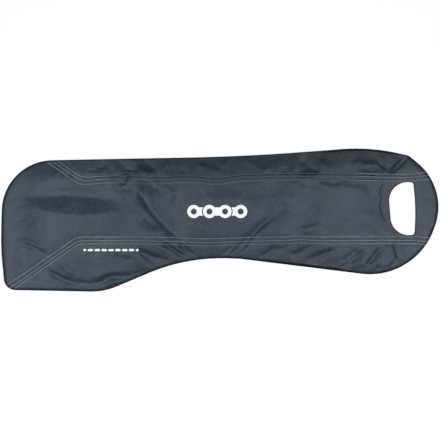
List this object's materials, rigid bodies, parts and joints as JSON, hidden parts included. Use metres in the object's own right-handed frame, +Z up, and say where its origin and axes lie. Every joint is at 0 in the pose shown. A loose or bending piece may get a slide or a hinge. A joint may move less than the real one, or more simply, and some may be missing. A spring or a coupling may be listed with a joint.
{
  "type": "bicycle chain cover",
  "caption": "Flat cloth sleeve with an open upper edge, a round nose with a D-shaped hand hole and triple-stitched bands, to cover a bicycle's chain and chainring.",
  "frame": {"origin": "on the floor, under the middle of the cover's outline", "axes": "+X from the tail to the round nose, +Y from the waist to the open mouth, +Z up through the front panel"},
  "size_m": [0.7004, 0.2292, 0.0126],
  "materials": {
    "cloth": "slate grey coated polyester, fine plain weave, matt",
    "binding": "dark woven binding tape, matt",
    "hook_tape": "black hook tape",
    "loop_tape": "black loop tape, fuzzy",
    "thread": "light grey polyester sewing thread"
  },
  "bodies": {
    "root": {"front_panel": "cloth", "back_panel": "cloth", "seam_binding": "binding", "hole_facing": "binding", "hook_patches": "hook_tape", "loop_patches": "loop_tape", "upper_stitch_row_1": "thread", "upper_stitch_row_2": "thread", "upper_stitch_row_3": "thread", "lower_stitch_row_1": "thread", "lower_stitch_row_2": "thread", "lower_stitch_row_3": "thread"}
  },
  "joints": []
}
